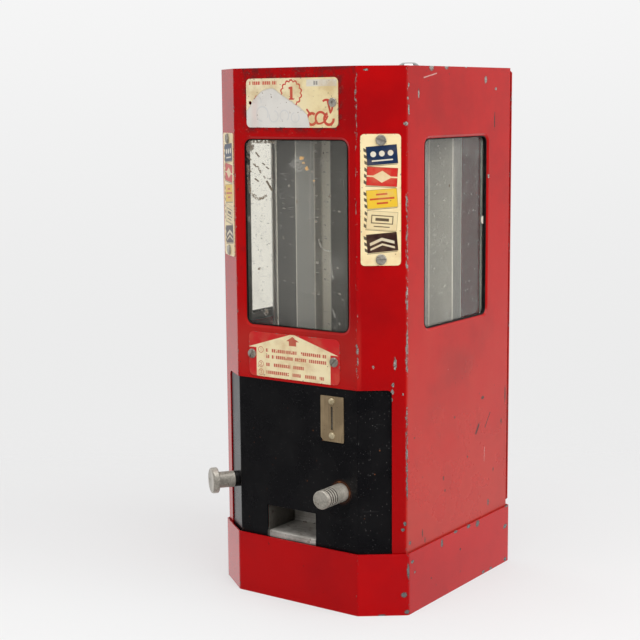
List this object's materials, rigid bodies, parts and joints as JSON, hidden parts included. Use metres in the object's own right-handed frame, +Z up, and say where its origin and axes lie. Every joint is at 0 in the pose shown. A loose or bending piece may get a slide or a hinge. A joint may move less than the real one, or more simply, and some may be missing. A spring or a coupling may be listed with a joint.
{
  "type": "candy vending machine",
  "caption": "Counter-top candy vending machine with a turning magazine of stacks, a selector knob, a coin slot, a pull plunger and a delivery tray in a red steel cabinet.",
  "frame": {"origin": "centre of the base's underside, midway between the cabinet's sides and between its front and rear faces", "axes": "+Z up, -Y out of the front window and the coin slot, +X to the viewer's right when facing the front"},
  "size_m": [0.198, 0.2339, 0.4635],
  "materials": {
    "cabinet_paint": "gloss red enamel, scratched and chipped to bare metal along the edges",
    "panel_paint": "satin black enamel with dust specks",
    "window_glass": "clear window glass with fine scratches and dirt",
    "frame_steel": "plain grey-green steel sheet",
    "gasket_rubber": "matte black",
    "name_enamel": "worn cream enamel",
    "red_enamel": "printed enamel plate",
    "cream_enamel": "printed enamel plate",
    "nickel": "dull nickel plating",
    "bronze": "machined bronze",
    "rusty_steel": "dark and rusty",
    "plate_bronze": "aged bronze",
    "screw_brass": "aged",
    "zinc_steel": "zinc plated",
    "tray_steel": "bare with rust stains",
    "column_steel": "light grey-green painted steel",
    "ground_steel": "ground",
    "spring_steel": "oil-dark spring wire",
    "black_oxide": "blackened steel",
    "chrome": "polished",
    "hinge_paint": "red enamel"
  },
  "bodies": {
    "cabinet": {"base_pan": "cabinet_paint", "cabinet_shell": "cabinet_paint", "top_cover": "cabinet_paint", "mechanism_panel": "panel_paint", "front_glass": "window_glass", "left_glass": "window_glass", "right_glass": "window_glass", "front_glass_frame": "frame_steel", "side_glass_frames": "frame_steel", "window_gaskets": "gasket_rubber", "name_plate": "name_enamel", "instruction_plate": "red_enamel", "left_product_plate": "cream_enamel", "right_product_plate": "cream_enamel", "plate_screws": "nickel", "deck_plate": "frame_steel", "deck_bearing": "bronze", "gear_bracket": "frame_steel", "foot_bearing": "bronze", "top_bearing_bar": "frame_steel", "top_bearing": "bronze", "selector_bushing": "black_oxide", "selector_bracket": "frame_steel", "plunger_bushing": "rusty_steel", "plunger_guide": "frame_steel", "coin_slot_plate": "plate_bronze", "coin_slot_screws": "screw_brass", "coin_chute": "zinc_steel", "drop_chute": "frame_steel", "delivery_tray": "tray_steel", "cash_box": "frame_steel", "lock_barrel": "chrome", "cabinet_hinge_leaves": "hinge_paint", "hinge_pins": "ground_steel"},
    "magazine": {"magazine_shaft": "ground_steel", "lower_hub": "zinc_steel", "upper_hub": "zinc_steel", "lower_pan": "frame_steel", "upper_pan": "frame_steel", "column_1": "column_steel", "column_2": "column_steel", "column_3": "column_steel", "column_4": "column_steel", "column_5": "column_steel", "column_rivets": "zinc_steel", "bevel_gear": "bronze"},
    "selector": {"selector_knob": "nickel", "selector_shaft": "ground_steel", "bevel_pinion": "bronze"},
    "plunger": {"plunger_knob": "nickel", "plunger_rod": "ground_steel", "coin_carrier": "zinc_steel", "return_spring": "spring_steel", "spring_collar": "zinc_steel"},
    "ejector": {"ejector": "zinc_steel"},
    "door": {"rear_door": "cabinet_paint", "lock_keeper": "zinc_steel", "door_hinge_leaves": "hinge_paint"},
    "lock": {"lock_cylinder": "bronze", "lock_cam": "zinc_steel"}
  },
  "joints": [
    {"name": "magazine_turn", "type": "hinge", "parent": "cabinet", "child": "magazine", "pos_m": [0, 0, 0.2], "axis": [0, 0, 1], "continuous": true},
    {"name": "selector_turn", "type": "hinge", "parent": "cabinet", "child": "selector", "pos_m": [0, 0, 0.098], "axis": [-0.6039, -0.7971, 0], "continuous": true},
    {"name": "plunger_pull", "type": "slide", "parent": "cabinet", "child": "plunger", "axis": [0, -1, 0], "range_m": [0, 0.035], "stiffness_N_per_m": 150, "springref_m": -0.02, "deforming": ["return_spring"]},
    {"name": "ejector_slide", "type": "slide", "parent": "cabinet", "child": "ejector", "axis": [0, -1, 0], "range_m": [0, 0.035]},
    {"name": "door_swing", "type": "hinge", "parent": "cabinet", "child": "door", "pos_m": [-0.09825, 0.1003, 0.25], "axis": [0, 0, 1], "range_deg": [0, 110]},
    {"name": "lock_turn", "type": "hinge", "parent": "cabinet", "child": "lock", "pos_m": [0, 0.08, 0.44], "axis": [0, 0, -1], "range_deg": [0, 90]}
  ],
  "couplings": [
    {"joint": "selector_turn", "follows": "magazine_turn", "ratio": -2},
    {"joint": "ejector_slide", "follows": "plunger_pull", "ratio": 1}
  ]
}
